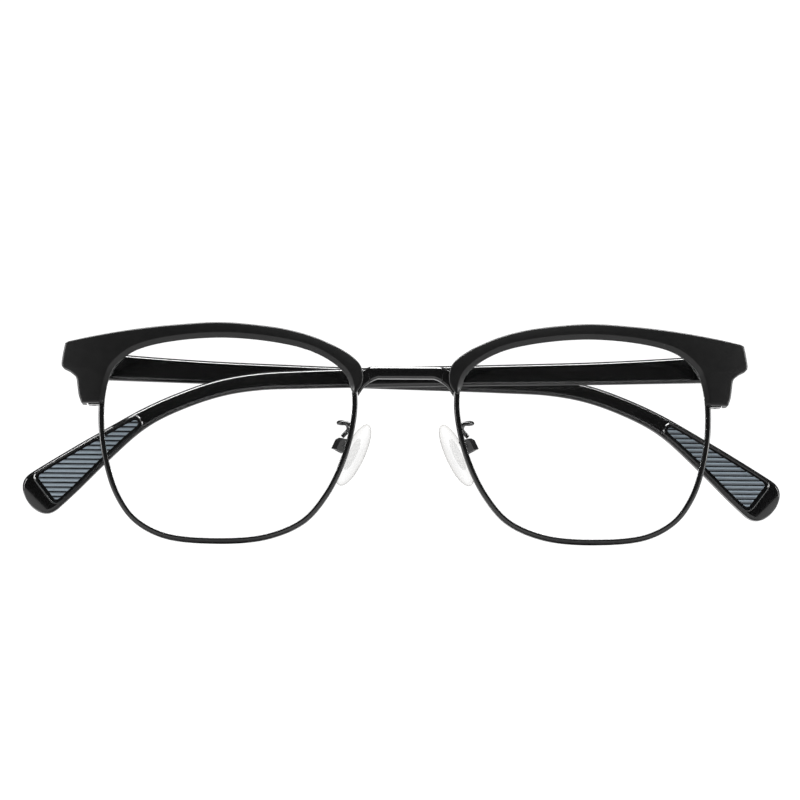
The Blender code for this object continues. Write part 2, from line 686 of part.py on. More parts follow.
def build_temple(word, side):
    place = temple_place(side)
    blade = temple_blade(f"temple_{word}", side)
    leaf = hinge_temple(f"hinge_temple_{word}", side)
    core = solid(f"temple_core_{word}", core_rings(8.5, 131, CORE_RADIUS), "steel", side, place=place)
    panel = insert_rings(INNER_FACE + 0.12, INNER_FACE + INSERT_DEPTH - 0.05, INSERT_GAP)
    insert = solid(f"temple_insert_{word}", panel, "insert_rubber", side, place=place)
    pieces = [blade, leaf, core, insert]
    for key, (along, up) in TEMPLE_RIVETS.items():
        pieces.append(fastener(f"temple_rivet_{key}_{word}", (along, INNER_FACE - 0.33, up),
                               (along, INNER_FACE + 1.2, up), (0.62, 0.3), RIVET_RADIUS, "steel",
                               side, place))
    for piece in pieces:
        set_origin(piece, (side * HINGE[0], HINGE[1], HINGE[2]))


def build_pad(word, side):
    place = pad_place()
    pad_arm(f"pad_arm_{word}", side)
    pad_box(f"pad_box_{word}", side)
    fastener(f"pad_screw_{word}", (-1.5, 0, 0), (1.1, 0, 0), (0.6, 0.3), PAD_SCREW_RADIUS, "steel",
             side, place)
    pad = nose_pad(f"nose_pad_{word}", side)
    set_origin(pad, (side * PAD_BOX.x, PAD_BOX.y, PAD_BOX.z))


clear_scene()
bridge("bridge")
for side_word, side_sign in SIDES.items():
    build_front(side_word, side_sign)
    build_temple(side_word, side_sign)
    build_pad(side_word, side_sign)
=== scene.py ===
"""The looks of the folded browline eyeglasses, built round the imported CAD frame.

Lengths in the shape code are millimetres from the lowest point of the rims; DATUM_Z and
MM turn them into the frame's metres.
"""
import math

import bmesh
import bpy
import numpy as np
from mathutils import Matrix, Vector


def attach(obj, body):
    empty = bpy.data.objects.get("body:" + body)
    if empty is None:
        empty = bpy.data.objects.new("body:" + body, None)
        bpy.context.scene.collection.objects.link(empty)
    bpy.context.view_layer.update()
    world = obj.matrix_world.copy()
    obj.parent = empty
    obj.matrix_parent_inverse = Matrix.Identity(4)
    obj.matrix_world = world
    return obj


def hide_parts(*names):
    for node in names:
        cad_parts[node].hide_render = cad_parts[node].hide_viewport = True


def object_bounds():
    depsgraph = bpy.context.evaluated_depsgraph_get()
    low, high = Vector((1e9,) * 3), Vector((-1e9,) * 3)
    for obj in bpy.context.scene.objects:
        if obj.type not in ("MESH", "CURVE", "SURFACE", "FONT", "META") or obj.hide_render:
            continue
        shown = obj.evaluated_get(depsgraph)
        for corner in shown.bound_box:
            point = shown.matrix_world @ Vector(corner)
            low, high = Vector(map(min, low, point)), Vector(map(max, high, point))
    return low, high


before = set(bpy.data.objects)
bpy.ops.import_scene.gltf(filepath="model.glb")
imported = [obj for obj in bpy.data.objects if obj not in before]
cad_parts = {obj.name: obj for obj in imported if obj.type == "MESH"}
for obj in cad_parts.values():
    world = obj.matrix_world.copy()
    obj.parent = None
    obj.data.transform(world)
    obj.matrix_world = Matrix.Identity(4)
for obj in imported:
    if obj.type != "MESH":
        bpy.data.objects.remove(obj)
cad_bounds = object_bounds()

MM = 0.001
SIDES = {"left": 1, "right": -1}
DATUM_Z = 33.0
EYE_CENTRE = (34.0, 21.0)
WRAP_RADIUS = 380.0
LENS_RADIUS = 260.0
RIM_WIDTH = 1.0
RIM_HALF_DEPTH = 0.95
RIM_SPLIT = 0.3
RIM_TANGENT = 0.6
GROOVE_HALF = 0.45
LENS_EDGE = 1.06
LENS_HALF = 0.7
LENS_RIDGE_HALF = 0.38
LENS_RIDGE_HIGH = 0.42
LENS_SHARES = (0.08, 0.3, 0.55, 0.8)
BROW_FRONT = -1.95
BROW_BACK = 1.45
BROW_CHAMFER = 0.95
BROW_CHAMFER_DEEP = 0.72
LIP_BACK = -1.05
LEG_STARTS_X = 13.0
BLOCK_BACK = 9.3
BRIDGE_CHAMFER = 0.38
HINGE = (61.7, 10.65, 36.0)
PANTOSCOPIC = math.radians(3.0)
CROSSING = math.radians(1.3)
INNER_FACE = 1.4
LEAF_THICK = 0.7
LEAF_REACH = 2.95
POCKET_HALF = 2.1
POCKET_GAP = 0.08

OUTLINE_POINTS = 480
SOFTEN_TIMES = 60
RIM_OUTLINE = [
    (59.25, 29.4), (59.3, 22.3), (58.1, 15.4), (55.95, 9.35), (52.45, 4.55), (46.5, 1.25),
    (36.1, 0.1), (26.3, 0.9), (19.25, 3.95), (15.0, 8.8), (11.9, 14.9), (9.95, 21.6),
    (9.3, 27.7), (10.2, 32.7), (14.1, 36.5), (22.0, 39.6), (35.6, 41.2), (46.6, 40.55),
    (54.4, 38.0), (58.2, 33.5),
]
# Brow bar rungs: lens-side x, z, outer x, z, groove width, share of end-block depth
BROW_SWEEP = [
    (10.15, 28.85, 9.75, 28.9, 1.6, 0.0), (10.45, 29.5, 9.3, 29.4, 1.6, 0.0),
    (10.8, 30.5, 8.55, 30.5, 1.6, 0.0), (11.3, 32.0, 8.2, 32.1, 1.6, 0.0),
    (12.1, 33.2, 8.6, 34.1, 1.6, 0.0), (13.2, 34.25, 9.7, 35.6, 1.6, 0.0),
    (14.8, 35.4, 12.0, 37.3, 1.6, 0.0), (16.8, 36.5, 15.0, 38.8, 1.6, 0.0),
    (19.5, 37.6, 18.2, 40.1, 1.6, 0.0), (24.0, 38.65, 23.2, 41.45, 1.6, 0.0),
    (30.0, 39.5, 29.6, 42.4, 1.6, 0.0), (36.1, 39.85, 36.1, 42.9, 1.6, 0.0),
    (43.2, 39.5, 43.8, 42.6, 1.6, 0.0), (49.1, 38.6, 50.3, 42.1, 1.6, 0.0),
    (52.8, 37.4, 55.95, 41.45, 1.5, 0.3), (55.2, 35.75, 61.1, 40.7, 1.5, 0.9),
    (56.2, 34.8, 65.6, 39.9, 1.5, 1.0),
]
BROW_CORNERS = [
    (56.4, 34.55, 66.3, 39.55, 1.5, 1.0), (56.75, 34.1, 66.75, 37.1, 1.5, 1.0),
    (57.0, 33.6, 66.9, 35.15, 1.5, 1.0), (57.1, 33.3, 66.5, 34.65, 1.5, 1.0),
]
BROW_LOBE = [
    (57.25, 32.9, 65.4, 34.1, 1.5, 1.0), (57.4, 32.4, 64.5, 33.4, 1.5, 1.0),
    (57.65, 31.5, 63.85, 32.4, 3.95, 1.0), (57.9, 30.2, 63.6, 30.75, 3.95, 1.0),
    (58.1, 28.85, 63.3, 29.0, 3.95, 1.0), (58.25, 27.8, 62.9, 27.9, 3.8, 1.0),
]
# The lobe's rounded lower end: size left and drop
LOBE_END = ((0.985, 0.12), (0.94, 0.25), (0.86, 0.3))
# Bridge leg rungs: lower x, z, upper x, z, front y, back y
BRIDGE_LEG = [
    (5.4, 31.9, 5.4, 34.25, 0.0, 1.9), (6.2, 31.6, 6.4, 34.23, 0.0, 1.9),
    (6.75, 31.3, 7.0, 34.2, 0.06, 1.9), (7.05, 31.13, 7.3, 34.13, 0.5, 1.95),
    (8.1, 30.3, 8.3, 33.7, 0.56, 2.0), (9.19, 28.6, 9.74, 32.4, 0.62, 2.0),
]
BRIDGE_MIDDLE = [(x, 31.9, x, 34.25, 0.0, 1.9) for x in (-3.0, 0.0, 3.0)]
# The blade's middle line: along from the hinge, up
TEMPLE_LINE = [
    (-0.6, 0.15), (9.7, -0.45), (23.7, -1.1), (45.7, -1.7), (61.7, -2.15), (80.7, -2.8),
    (90.4, -3.35), (97.3, -4.55), (104.2, -6.85), (112.3, -10.7), (120.8, -16.8),
    (128.7, -23.1), (134.7, -27.8),
]
BLADE_TANGENT = 1.5
TEMPLE_LENGTH = 142.4
TEMPLE_CHAMFER = 0.55
UNDERSIDE_RISE = 0.45
TIP_ROUND = 4.4
TIP_POWER = 2.8
TIP_LEAST = 0.12
TIP_EASE = 0.9
# Half height and thickness of the blade at lengths from its root
HALF_HEIGHT = [
    (0, 2.8), (11.7, 2.5), (25.7, 2.3), (47.7, 2.1), (63.7, 2.05), (82.7, 1.9), (92.7, 1.78),
    (106.7, 1.7), (115.7, 1.8), (120.7, 2.35), (126.7, 3.1), (136.2, 4.3), (142.4, 4.7),
]
THICKNESS = [(0, 3.4), (12, 3.0), (26, 2.5), (102, 2.5), (118, 3.4), (143, 3.6)]
INSERT_SPAN = (115.8, 138.3)
INSERT_MARGIN = 1.15
RIB_PITCH = 0.92
RIB_HEIGHT = 0.13
PANEL_CORNER = 1.3
PANEL_GAP = 0.15
LIP_REACH = (0.35, 0.45)
LIP_MARGIN = 0.7
LIP_RADIUS = 0.24
LIP_CORNER = 1.7
LIP_SINK = 0.06
PAD_BOX = Vector((12.35, 6.9, 19.8))
PAD_LEAN = math.radians(25.0)
PAD_SPLAY = math.radians(28.0)
PAD_DROP = 0.6
# Pad sections: height over the box, half width, half length, egg shape, drop
PAD_LOFTS = [
    (-0.5, 0.55, 0.55, 0, 0), (0.5, 0.62, 0.62, 0, 0), (1.55, 0.62, 0.62, 0, 0),
    (1.85, 1.3, 1.9, 0.2, -0.3), (2.1, 2.2, 3.8, 0.4, -0.5), (2.4, 3.0, 5.5, 0.5, -PAD_DROP),
    (2.85, 3.4, 6.4, 0.6, -PAD_DROP), (3.3, 3.5, 6.6, 0.6, -PAD_DROP),
    (3.8, 3.3, 6.3, 0.6, -PAD_DROP), (4.2, 2.9, 5.6, 0.6, -PAD_DROP),
    (4.5, 2.2, 4.3, 0.5, -PAD_DROP), (4.67, 1.2, 2.5, 0.4, -PAD_DROP),
    (4.7, 0.5, 1.0, 0.4, -PAD_DROP),
]
PLATE_HALF_WIDTH = 1.5
PLATE_HALF_LENGTH = 3.3
PLATE_HEIGHTS = (2.75, 3.15)
WIRE_RADIUS = 0.42
WIRE_ROUTE = [
    (10.75, 2.75, 22.9), (11.2, 2.85, 23.45), (12.4, 3.4, 23.6), (12.9, 4.4, 23.8),
    (12.3, 5.4, 24.0), (11.3, 5.75, 23.7), (11.0, 6.1, 22.8),
]


# ---------------------------------------------------------------- materials

def new_material(name, colour, roughness, **sockets):
    """A Principled material; each extra name is a socket, with underscores for its spaces."""
    made = bpy.data.materials.new(name)
    made.use_nodes = True
    shader = made.node_tree.nodes["Principled BSDF"]
    shader.inputs["Base Color"].default_value = (*colour, 1.0)
    shader.inputs["Roughness"].default_value = roughness
    for socket, value in sockets.items():
        shader.inputs[socket.replace("_", " ")].default_value = value
    return made, made.node_tree, shader


def noise(tree, scale, detail=3.0, stretch=(1, 1, 1)):
    """A noise texture in the object's own metres, stretched where a finish has a direction."""
    coords = tree.nodes.new("ShaderNodeTexCoord")
    mapping = tree.nodes.new("ShaderNodeMapping")
    mapping.inputs["Scale"].default_value = stretch
    texture = tree.nodes.new("ShaderNodeTexNoise")
    texture.inputs["Scale"].default_value = scale
    texture.inputs["Detail"].default_value = detail
    tree.links.new(coords.outputs["Object"], mapping.inputs["Vector"])
    tree.links.new(mapping.outputs["Vector"], texture.inputs["Vector"])
    return texture.outputs["Fac"]


def spread(tree, value, low, high):
    """The value between two limits, from a 0 to 1 texture."""
    node = tree.nodes.new("ShaderNodeMapRange")
    node.inputs["From Min"].default_value = 0.3
    node.inputs["From Max"].default_value = 0.7
    node.inputs["To Min"].default_value = low
    node.inputs["To Max"].default_value = high
    tree.links.new(value, node.inputs["Value"])
    return node.outputs["Result"]


def math_node(tree, operation, first, second):
    """One Math node; second is an output or a plain number."""
    node = tree.nodes.new("ShaderNodeMath")
    node.operation = operation
    tree.links.new(first, node.inputs[0])
    if isinstance(second, float):
        node.inputs[1].default_value = second
    else:
        tree.links.new(second, node.inputs[1])
    return node.outputs[0]


def colours_between(tree, value, dark, light):
    """A colour between two, from a 0 to 1 texture."""
    ramp = tree.nodes.new("ShaderNodeValToRGB")
    ramp.color_ramp.elements[0].position = 0.35
    ramp.color_ramp.elements[0].color = (*dark, 1)
    ramp.color_ramp.elements[1].position = 0.65
    ramp.color_ramp.elements[1].color = (*light, 1)
    tree.links.new(value, ramp.inputs["Fac"])
    return ramp.outputs["Color"]


def add_bump(tree, shader, value, strength, depth_mm=0.01):
    """Tilts the shader's normals by a texture's heights."""
    bump = tree.nodes.new("ShaderNodeBump")
    bump.inputs["Strength"].default_value = strength
    bump.inputs["Distance"].default_value = depth_mm * MM
    tree.links.new(value, bump.inputs["Height"])
    tree.links.new(bump.outputs["Normal"], shader.inputs["Normal"])


def finish_material(name, dark, light, rough, grain, bump, stretch=(1, 1, 1), **sockets):
    """A black or metal finish: colour, roughness and bump all follow one fine grain."""
    made, tree, shader = new_material(name, dark, rough[0], **sockets)
    cloud = noise(tree, grain * 0.12, 2.0, stretch)
    fine = noise(tree, grain, 4.0, stretch)
    tree.links.new(colours_between(tree, cloud, dark, light), shader.inputs["Base Color"])
    tree.links.new(spread(tree, fine, *rough), shader.inputs["Roughness"])
    add_bump(tree, shader, fine, bump)
    return made


def make_materials():
    """Every finish by a short name."""
    made = {}
    made["acetate"] = finish_material(
        "brow_satin_acetate", (0.006, 0.006, 0.0062), (0.0085, 0.0085, 0.0085), (0.3, 0.4),
        4200, 0.35, Specular_IOR_Level=0.45)
    made["lacquer"] = finish_material(
        "black_lacquered_metal", (0.004, 0.004, 0.0042), (0.0065, 0.0065, 0.0068), (0.16, 0.24),
        2600, 0.12, Coat_Weight=0.6, Coat_Roughness=0.08)
    made["gloss"] = finish_material(
        "temple_gloss_black", (0.0035, 0.0035, 0.0037), (0.0055, 0.0055, 0.0057), (0.1, 0.16),
        1500, 0.1, Coat_Weight=0.5, Coat_Roughness=0.06)
    made["steel"] = finish_material(
        "turned_steel", (0.33, 0.33, 0.34), (0.5, 0.5, 0.52), (0.22, 0.38), 5200, 0.3,
        (1, 1, 6), Metallic=1.0)
    made["dark_steel"] = finish_material(
        "hinge_dark_steel", (0.05, 0.05, 0.052), (0.09, 0.09, 0.092), (0.25, 0.4), 5200, 0.25,
        (1, 1, 5), Metallic=0.9)
    made["insert"] = insert_material()
    made["lens"] = lens_material()
    made["silicone"] = silicone_material()
    made["core"] = core_material()
    return made


def cover_by_angle(tree, shader, sharpness, face_on, glancing):
    """Makes a clear finish: its cover grows from one value face on to another edge on."""
    weight = tree.nodes.new("ShaderNodeLayerWeight")
    glance = math_node(tree, "POWER", weight.outputs["Facing"], sharpness)
    cover = tree.nodes.new("ShaderNodeMapRange")
    cover.inputs["To Min"].default_value = face_on
    cover.inputs["To Max"].default_value = glancing
    tree.links.new(glance, cover.inputs["Value"])
    tree.links.new(cover.outputs["Result"], shader.inputs["Alpha"])


def insert_material():
    """Blue-grey rubber with a powdery grain: lighter on the ribs, with painted shade darkening the
    grooves between them.
    """
    made, tree, shader = new_material("ribbed_rubber", (0.3, 0.36, 0.41), 0.6)
    coords = tree.nodes.new("ShaderNodeTexCoord")
    split = tree.nodes.new("ShaderNodeSeparateXYZ")
    tree.links.new(coords.outputs["Object"], split.inputs["Vector"])
    # Painted shade: the colour follows the same wave as the ribs' geometry, so every groove is
    # painted darker.
    turns = math_node(tree, "MULTIPLY", split.outputs["Z"], 2 * math.pi / (RIB_PITCH * MM))
    wave = math_node(tree, "COSINE", turns, 0.0)
    ramp = tree.nodes.new("ShaderNodeMapRange")
    ramp.inputs["From Min"].default_value = -1.0
    ramp.inputs["From Max"].default_value = 0.9
    tree.links.new(wave, ramp.inputs["Value"])
    grain = noise(tree, 6000, 4.0)
    light = colours_between(tree, grain, (0.42, 0.51, 0.59), (0.51, 0.61, 0.69))
    mix = tree.nodes.new("ShaderNodeMix")
    mix.data_type = "RGBA"
    # The painted shade colour laid in the grooves.
    mix.inputs["A"].default_value = (0.13, 0.15, 0.17, 1)
    tree.links.new(ramp.outputs["Result"], mix.inputs["Factor"])
    tree.links.new(light, mix.inputs["B"])
    tree.links.new(mix.outputs["Result"], shader.inputs["Base Color"])
    tree.links.new(spread(tree, grain, 0.5, 0.68), shader.inputs["Roughness"])
    add_bump(tree, shader, grain, 0.3)
    return made


def lens_material():
    """A coated clear lens: hardly there face on, and a mirror at a glancing angle."""
    made, tree, shader = new_material("clear_demo_lens", (0.94, 0.97, 0.965), 0.02, Metallic=1.0)
    smear = noise(tree, 60, 3.0)
    tree.links.new(spread(tree, smear, 0.01, 0.03), shader.inputs["Roughness"])
    cover_by_angle(tree, shader, 4.0, 0.025, 0.6)
    return made


def silicone_material():
    """Clear soft silicone: nearly see-through face on, milky round its edges."""
    made, tree, shader = new_material("clear_silicone", (0.34, 0.32, 0.29), 0.1)
    haze = noise(tree, 900, 3.0)
    tree.links.new(spread(tree, haze, 0.06, 0.14), shader.inputs["Roughness"])
    add_bump(tree, shader, haze, 0.1, 0.02)
    cover_by_angle(tree, shader, 2.5, 0.03, 0.75)
    return made


def core_material():
    """The stiff clear plate moulded into each pad, a little denser than the silicone."""
    made, tree, shader = new_material("clear_pad_plate", (0.5, 0.5, 0.48), 0.3, Alpha=0.16)
    haze = noise(tree, 1200, 3.0)
    tree.links.new(spread(tree, haze, 0.05, 0.15), shader.inputs["Roughness"])
    return made


# ---------------------------------------------------------------- shape helpers

SPAN_STEPS = 24


def run_along(points):
    """The length walked from the first point to each point."""
    return np.concatenate([[0], np.cumsum(np.linalg.norm(np.diff(points, axis=0), axis=1))])


def smooth(points, count, closed=False):
    """Points along a Catmull-Rom curve through every row of points, evenly by length."""
    rows = np.array(points, float)
    if closed:
        rows = np.vstack([rows[-1], rows, rows[:2]])
    else:
        rows = np.vstack([2 * rows[0] - rows[1], rows, 2 * rows[-1] - rows[-2]])
    knots = np.concatenate([[0], np.cumsum(np.sqrt(np.linalg.norm(np.diff(rows, axis=0), axis=1)))])
    fine = []
    for i in range(1, len(rows) - 2):
        t0, t1, t2, t3 = knots[i - 1:i + 3]
        p0, p1, p2, p3 = rows[i - 1:i + 3]
        for t in np.linspace(t1, t2, SPAN_STEPS, endpoint=False):
            a1 = p0 + (p1 - p0) * (t - t0) / (t1 - t0)
            a2 = p1 + (p2 - p1) * (t - t1) / (t2 - t1)
            a3 = p2 + (p3 - p2) * (t - t2) / (t3 - t2)
            b1 = a1 + (a2 - a1) * (t - t0) / (t2 - t0)
            b2 = a2 + (a3 - a2) * (t - t1) / (t3 - t1)
            fine.append(b1 + (b2 - b1) * (t - t1) / (t2 - t1))
    fine.append(rows[-2])
    fine = np.array(fine)
    run = run_along(fine)
    wanted = np.linspace(0, run[-1], count, endpoint=not closed)
    return np.array([np.interp(wanted, run, column) for column in fine.T]).T


def soften(values, times):
    """Irons small waves out of a closed curve without moving it as a whole."""
    for _ in range(times):
        near = (np.roll(values, 1, axis=0) + np.roll(values, -1, axis=0)) / 2
        far = (np.roll(values, 2, axis=0) + np.roll(values, -2, axis=0)) / 2
        values = values + 0.5 * (near - values) - 0.125 * (far - values)
    return values


def depth(x, z):
    """Y of the front's curved middle surface: the frame's wrap plus the lens's curve."""
    across = abs(x) - EYE_CENTRE[0]
    up = z - EYE_CENTRE[1]
    return x * x / (2 * WRAP_RADIUS) + (across * across + up * up) / (2 * LENS_RADIUS)


def block_back(z):
    """Y of the end block's back face, which leans with the hinge."""
    return BLOCK_BACK + (z - HINGE[2]) * math.tan(PANTOSCOPIC)


def in_frame(point, side=1):
    """A millimetre point of the left half, as metres of the frame on either side."""
    return Vector((side * point[0] * MM, point[1] * MM, (point[2] - DATUM_Z) * MM))


def rounded(corners, steps=4):
    """A closed 2-D outline with each (u, v, radius) corner turned into a short arc."""
    spots = [np.array(c[:2], float) for c in corners]
    out = []
    for i, corner in enumerate(spots):
        before, after = spots[i - 1], spots[(i + 1) % len(spots)]
        to_before, to_after = before - corner, after - corner
        reach = min(corners[i][2], 0.45 * np.linalg.norm(to_before), 0.45 * np.linalg.norm(to_after))
        start = corner + to_before / max(np.linalg.norm(to_before), 1e-9) * reach
        end = corner + to_after / max(np.linalg.norm(to_after), 1e-9) * reach
        for t in np.linspace(0, 1, steps):
            out.append(start * (1 - t) ** 2 + 2 * corner * t * (1 - t) + end * t ** 2)
    return out


def skin(name, rings, finish, body, replaced=(), side=1, loop=False, place=None, sharp=38):
    """One closed, smooth-shaded piece skinned over rings, riding on a body."""
    mesh = bmesh.new()
    place = place or Matrix.Identity(4)
    rows = [[mesh.verts.new(in_frame(place @ Vector(point), side)) for point in ring]
            for ring in rings]
    around = len(rows[0])
    for i in range(len(rows) if loop else len(rows) - 1):
        here, after = rows[i], rows[(i + 1) % len(rows)]
        for j in range(around):
            k = (j + 1) % around
            mesh.faces.new((here[j], here[k], after[k], after[j]))
    if not loop:
        mesh.faces.new(rows[0])
        mesh.faces.new(rows[-1])
    bmesh.ops.recalc_face_normals(mesh, faces=mesh.faces)
    data = bpy.data.meshes.new(name)
    mesh.to_mesh(data)
    mesh.free()
    data.materials.append(finish)
    data.shade_smooth()
    data.set_sharp_from_angle(angle=math.radians(sharp))
    piece = bpy.data.objects.new(name, data)
    bpy.context.scene.collection.objects.link(piece)
    if body:
        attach(piece, body)
    if replaced:
        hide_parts(*replaced)
    return piece


def cut(piece, tool):
    """Takes the tool's shape out of the piece for good."""
    step = piece.modifiers.new("cut", "BOOLEAN")
    step.object = tool
    bpy.context.view_layer.update()
    graph = bpy.context.evaluated_depsgraph_get()
    piece.data = bpy.data.meshes.new_from_object(piece.evaluated_get(graph))
    piece.modifiers.clear()
    bpy.data.objects.remove(tool)


def circle(radius, count):
    """Points round a circle, from the first axis towards the second."""
    turns = [2 * math.pi * i / count for i in range(count)]
    return [(radius * math.cos(turn), radius * math.sin(turn)) for turn in turns]


def tube_rings(path, radius, count=16, closed=False):
    """Rings round a path, kept from twisting by carrying one direction along."""
    spots = [Vector(p) for p in path]
    carried = Vector((0, 1, 0))
    rings = []
    for i, spot in enumerate(spots):
        if closed:
            along = (spots[(i + 1) % len(spots)] - spots[i - 1]).normalized()
        else:
            along = (spots[min(i + 1, len(spots) - 1)] - spots[max(i - 1, 0)]).normalized()
        carried = (carried - along * carried.dot(along)).normalized()
        other = along.cross(carried)
        rings.append([spot + carried * u + other * v for u, v in circle(radius, count)])
    return rings


# ---------------------------------------------------------------- front

def rim_stations(count, gap):
    """(point, inward normal) pairs along the rim; gap trims both ends beside the split."""
    outline = soften(smooth(RIM_OUTLINE, OUTLINE_POINTS, closed=True), SOFTEN_TIMES)
    ahead = np.vstack([outline, outline[:1]])
    run = run_along(ahead)
    total = run[-1]
    if gap:
        places = np.linspace(gap, total - gap, count)
    else:
        places = np.linspace(0, total, count, endpoint=False)
    stations = []
    for place in places:
        spot, before, after = (np.array([np.interp((place + d) % total, run, column)
                                         for column in ahead.T])
                               for d in (0, -RIM_TANGENT, RIM_TANGENT))
        tangent = (after - before) / np.linalg.norm(after - before)
        stations.append((spot, np.array([tangent[1], -tangent[0]])))
    return stations


def on_front(spot, normal, inward, offset):
    """A point beside the rim line, at an offset from the front's curved middle surface."""
    x, z = spot + normal * inward
    return (x, depth(x, z) + offset, z)


def build_rim(word, side, looks):
    """The lacquered wire with its lens groove, soft on every outer edge."""
    deep, groove = RIM_HALF_DEPTH, GROOVE_HALF
    section = rounded([(0, -deep, 0.42), (0, deep, 0.42), (RIM_WIDTH, deep, 0.16),
                       (RIM_WIDTH, groove, 0.04), (RIM_WIDTH - groove, 0, 0.04),
                       (RIM_WIDTH, -groove, 0.04), (RIM_WIDTH, -deep, 0.16)])
    rings = [[on_front(spot, normal, u, v) for u, v in section]
             for spot, normal in rim_stations(220, RIM_SPLIT / 2)]
    skin(f"rim_wire_{word}", rings, looks["lacquer"], "front", [f"rim_{word}"], side)


def build_lens(word, side, looks):
    """The curved lens with the ridge round its edge that sits in the rim's groove."""
    centre = np.array(EYE_CENTRE)
    steps = [(share, LENS_EDGE, -LENS_HALF) for share in LENS_SHARES]
    steps += [(1, LENS_EDGE, -LENS_HALF), (1, LENS_EDGE, -LENS_RIDGE_HALF),
              (1, LENS_EDGE - LENS_RIDGE_HIGH, 0),
              (1, LENS_EDGE, LENS_RIDGE_HALF), (1, LENS_EDGE, LENS_HALF)]
    steps += [(share, LENS_EDGE, LENS_HALF) for share in reversed(LENS_SHARES)]
    stations = rim_stations(160, 0)
    rings = []
    for share, inward, offset in steps:
        ring = []
        for spot, normal in stations:
            x, z = centre + (spot + normal * inward - centre) * share
            ring.append((x, depth(x, z) + offset, z))
        rings.append(ring)
    skin(f"lens_clear_{word}", rings, looks["lens"], "front", [f"lens_{word}"], side)


def brow_ring(rung):
    """One cross-section of the brow bar, with its wide lens-side bevel and soft corners."""
    inner, outer = np.array(rung[0:2]), np.array(rung[2:4])
    groove, block = rung[4], min(max(rung[5], 0), 1)
    width = np.linalg.norm(outer - inner)
    across = (outer - inner) / width
    chamfer = min(BROW_CHAMFER, 0.45 * width)
    soft = min(0.5, 0.22 * width)
    leg = inner[0] > LEG_STARTS_X

    def spot(w):
        return inner + across * w

    def front(w, offset):
        return (w, depth(*spot(w)) + offset)

    def back(w):
        own = depth(*spot(w)) + BROW_BACK
        return (w, own + (block_back(spot(w)[1]) - own) * block)

    corners = [(*front(0, LIP_BACK), 0.04), (*front(0, BROW_FRONT + BROW_CHAMFER_DEEP), 0.14),
               (*front(chamfer, BROW_FRONT), 0.14), (*front(width, BROW_FRONT), soft)]
    if leg:
        corners += [(*back(width), 0.45), (*back(groove), 0.15), (*front(groove, LIP_BACK), 0.04)]
    else:
        corners += [(*front(width, LIP_BACK - 0.05), 0.05), (*front(width * 0.7, LIP_BACK), 0.02),
                    (*front(width * 0.4, LIP_BACK), 0.02)]
    ring = []
    for w, y in rounded(corners, 5):
        x, z = spot(w)
        ring.append((x, y, z))
    return ring


def shrunk(ring, share, lower):
    """The ring drawn in about its middle and lowered: a soft edge for an end cap."""
    middle = np.mean(ring, axis=0)
    drawn = middle + (np.array(ring) - middle) * share
    drawn[:, 2] -= lower
    return [tuple(p) for p in drawn]


def leaf_place():
    """Hinge-local millimetres, leaning with the temples."""
    return Matrix.Translation(Vector(HINGE)) @ Matrix.Rotation(-PANTOSCOPIC, 4, "X")


def box_rings(low, high):
    """The lower and upper rings of a box between two corners."""
    (x0, y0, z0), (x1, y1, z1) = low, high
    return [[(x0, y0, z), (x1, y0, z), (x1, y1, z), (x0, y1, z)] for z in (z0, z1)]


def build_brow(word, side, looks):
    """The acetate bar from the nose to the end block's lobe, with the hinge leaf's pocket."""
    rungs = np.vstack([smooth(BROW_SWEEP, 110), smooth(BROW_CORNERS, 10), smooth(BROW_LOBE, 24)])
    rings = [brow_ring(rung) for rung in rungs]
    rings += [shrunk(rings[-1], share, lower) for share, lower in LOBE_END]
    piece = skin(f"brow_shell_{word}", rings, looks["acetate"], "front", [f"brow_bar_{word}"], side)
    back = BLOCK_BACK - HINGE[1]
    pocket = box_rings((-4.3, back - LEAF_THICK - POCKET_GAP, -POCKET_HALF),
                       (1.3, back + 2, POCKET_HALF))
    cut(piece, skin("pocket", pocket, looks["acetate"], None, side=side, place=leaf_place()))


def build_bridge(looks):
    """The raised pad and the two legs that drop in behind the brow bars."""
    far_leg = [(-x_low, z_low, -x_high, z_high, front, back)
               for x_low, z_low, x_high, z_high, front, back in reversed(BRIDGE_LEG)]
    slope = BRIDGE_CHAMFER
    rings = []
    for x_low, z_low, x_high, z_high, front, back in far_leg + BRIDGE_MIDDLE + BRIDGE_LEG:
        tall = z_high - z_low
        outline = rounded([(front + slope, 0, 0.1), (front, slope, 0.1), (front, tall - slope, 0.1),
                           (front + slope, tall, 0.1), (back, tall, 0.4), (back, 0, 0.4)], 5)
        ring = []
        for y, up in outline:
            share = up / tall
            ring.append((x_low + (x_high - x_low) * share, y, z_low + up))
        rings.append(ring)
    skin("bridge_bar", rings, looks["lacquer"], "front", ["bridge"], sharp=50)


# ---------------------------------------------------------------- temples

def temple_place(side):
    """Temple-local millimetres (x along the blade, y through it, z up) in the folded place."""
    fold = CROSSING * -side
    along = Vector((-math.cos(fold), math.sin(fold), 0))
    outward = Vector((math.sin(fold), math.cos(fold), 0))
    turn = Matrix((along, outward, Vector((0, 0, 1)))).transposed().to_4x4()
    return leaf_place() @ turn


def temple_station(run, line):
    """(centre, direction up) of the blade at a length from its root."""
    lengths = run_along(line)
    spot, before, after = (np.array([np.interp(run + d, lengths, column) for column in line.T])
                           for d in (0, -BLADE_TANGENT, BLADE_TANGENT))
    along = (after - before) / np.linalg.norm(after - before)
    return spot, np.array([-along[1], along[0]])


def table(rows, run):
    """The table's value at a length, averaged over a few millimetres each way."""
    xs, ys = np.array(rows, float).T
    spots = np.clip(run + np.linspace(-4, 4, 9), xs[0], xs[-1])
    return float(np.mean(np.interp(spots, xs, ys)))


def tip_share(run):
    """How much of the blade's height is left where its tip rounds off."""
    past = max(0.0, (run - (TEMPLE_LENGTH - TIP_ROUND)) / TIP_ROUND)
    return max(TIP_LEAST, (1 - past ** TIP_POWER) ** 0.5)


